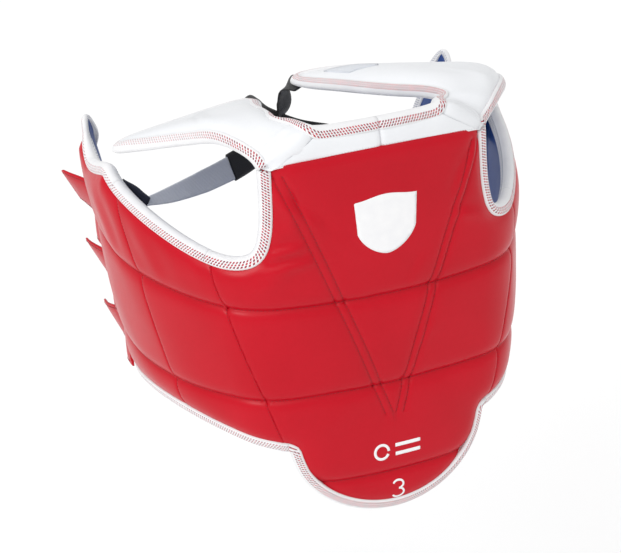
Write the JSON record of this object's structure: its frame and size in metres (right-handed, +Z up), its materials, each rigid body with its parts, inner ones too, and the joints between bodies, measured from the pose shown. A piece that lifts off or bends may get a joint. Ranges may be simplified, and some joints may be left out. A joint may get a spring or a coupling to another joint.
{
  "type": "chest protector",
  "caption": "Quilted foam chest protector with a pointed front, wings that wrap the ribs, shoulder caps, closing tabs and crossed back straps.",
  "frame": {"origin": "on the wearer's body axis, at the height of the lowest point of the front", "axes": "+Z up, -Y the way the wearer faces, +X the wearer's left"},
  "size_m": [0.4542, 0.4368, 0.4332],
  "materials": {
    "red_leather": "soft gloss",
    "blue_lining": "satin",
    "foam": "matt",
    "knit_binding": "knitted, small red checks",
    "white_leather": "soft gloss",
    "red_thread": "matt",
    "white_print": "satin",
    "hook_and_loop": "matt",
    "black_webbing": "woven",
    "grey_elastic": "woven"
  },
  "bodies": {
    "chest": {"chest_cover": "red_leather", "chest_lining": "blue_lining", "foam_tip": "foam", "foam_low": "foam", "foam_mid": "foam", "foam_top": "foam", "chest_binding": "knit_binding", "chest_quilting": "red_thread", "v_stitching": "red_thread", "shield_emblem": "white_print", "tip_mark": "white_print", "size_numeral": "white_print", "yoke_cover": "white_leather", "yoke_foam": "foam", "yoke_lining": "blue_lining", "neck_binding": "knit_binding"},
    "side_left": {"side_cover_left": "red_leather", "side_lining_left": "blue_lining", "side_foam_left": "foam", "side_binding_left": "knit_binding", "side_quilting_left": "red_thread", "strap_anchor_right": "black_webbing", "strap_elastic_right": "grey_elastic"},
    "side_right": {"side_cover_right": "red_leather", "side_lining_right": "blue_lining", "side_foam_right": "foam", "side_binding_right": "knit_binding", "side_quilting_right": "red_thread", "strap_anchor_left": "black_webbing", "strap_elastic_left": "grey_elastic"},
    "back_left": {"back_cover_left": "red_leather", "back_lining_left": "blue_lining", "back_foam_left": "foam", "back_binding_left": "knit_binding", "back_quilting_left": "red_thread", "loop_patches": "hook_and_loop"},
    "back_right": {"back_cover_right": "red_leather", "back_lining_right": "blue_lining", "back_foam_right": "foam", "back_binding_right": "knit_binding", "back_quilting_right": "red_thread"},
    "cap_left": {"cap_cover_left": "white_leather", "cap_lining_left": "blue_lining", "cap_foam_left": "foam", "cap_binding_left": "knit_binding", "cap_patch_left": "grey_elastic", "strap_band_left": "black_webbing", "strap_cuff_left": "black_webbing"},
    "cap_right": {"cap_cover_right": "white_leather", "cap_lining_right": "blue_lining", "cap_foam_right": "foam", "cap_binding_right": "knit_binding", "strap_band_right": "black_webbing", "strap_cuff_right": "black_webbing"},
    "tab_top": {"tab_top": "red_leather", "tab_hook_top": "hook_and_loop"},
    "tab_middle": {"tab_middle": "red_leather", "tab_hook_middle": "hook_and_loop"},
    "tab_bottom": {"tab_bottom": "red_leather", "tab_hook_bottom": "hook_and_loop"}
  },
  "joints": [
    {"name": "side_left_fold", "type": "hinge", "parent": "chest", "child": "side_left", "pos_m": [0.13579, -0.12351, 0.1925], "axis": [-0.2394, -0.165, -0.9568], "range_deg": [0, 45], "stiffness_Nm_per_rad": 4, "deforming": ["strap_elastic_right"]},
    {"name": "side_right_fold", "type": "hinge", "parent": "chest", "child": "side_right", "pos_m": [-0.13579, -0.12351, 0.1925], "axis": [-0.2394, 0.165, 0.9568], "range_deg": [0, 45], "stiffness_Nm_per_rad": 4, "deforming": ["strap_elastic_left"]},
    {"name": "back_left_fold", "type": "hinge", "parent": "side_left", "child": "back_left", "pos_m": [0.19216, -0.01863, 0.215], "axis": [-0.1469, -0.2673, -0.9524], "range_deg": [0, 40], "stiffness_Nm_per_rad": 2.5},
    {"name": "back_right_fold", "type": "hinge", "parent": "side_right", "child": "back_right", "pos_m": [-0.19216, -0.01863, 0.215], "axis": [-0.1469, 0.2673, 0.9524], "range_deg": [0, 40], "stiffness_Nm_per_rad": 2.5},
    {"name": "cap_left_lift", "type": "hinge", "parent": "chest", "child": "cap_left", "pos_m": [0.1025, -0.132, 0.4065], "axis": [0.916, -0.1949, -0.3508], "range_deg": [-5, 20], "stiffness_Nm_per_rad": 2, "deforming": ["strap_band_left"]},
    {"name": "cap_right_lift", "type": "hinge", "parent": "chest", "child": "cap_right", "pos_m": [-0.1025, -0.132, 0.4065], "axis": [0.916, 0.1949, 0.3508], "range_deg": [-5, 20], "stiffness_Nm_per_rad": 2, "deforming": ["strap_band_right"]},
    {"name": "tab_top_fold", "type": "hinge", "parent": "back_right", "child": "tab_top", "pos_m": [-0.17447, 0.19146, 0.25], "axis": [0, 0, 1], "range_deg": [-60, 25], "stiffness_Nm_per_rad": 0.05},
    {"name": "tab_middle_fold", "type": "hinge", "parent": "back_right", "child": "tab_middle", "pos_m": [-0.1674, 0.17744, 0.172], "axis": [0, 0, 1], "range_deg": [-60, 25], "stiffness_Nm_per_rad": 0.05},
    {"name": "tab_bottom_fold", "type": "hinge", "parent": "back_right", "child": "tab_bottom", "pos_m": [-0.16195, 0.16667, 0.112], "axis": [0, 0, 1], "range_deg": [-60, 25], "stiffness_Nm_per_rad": 0.05}
  ]
}
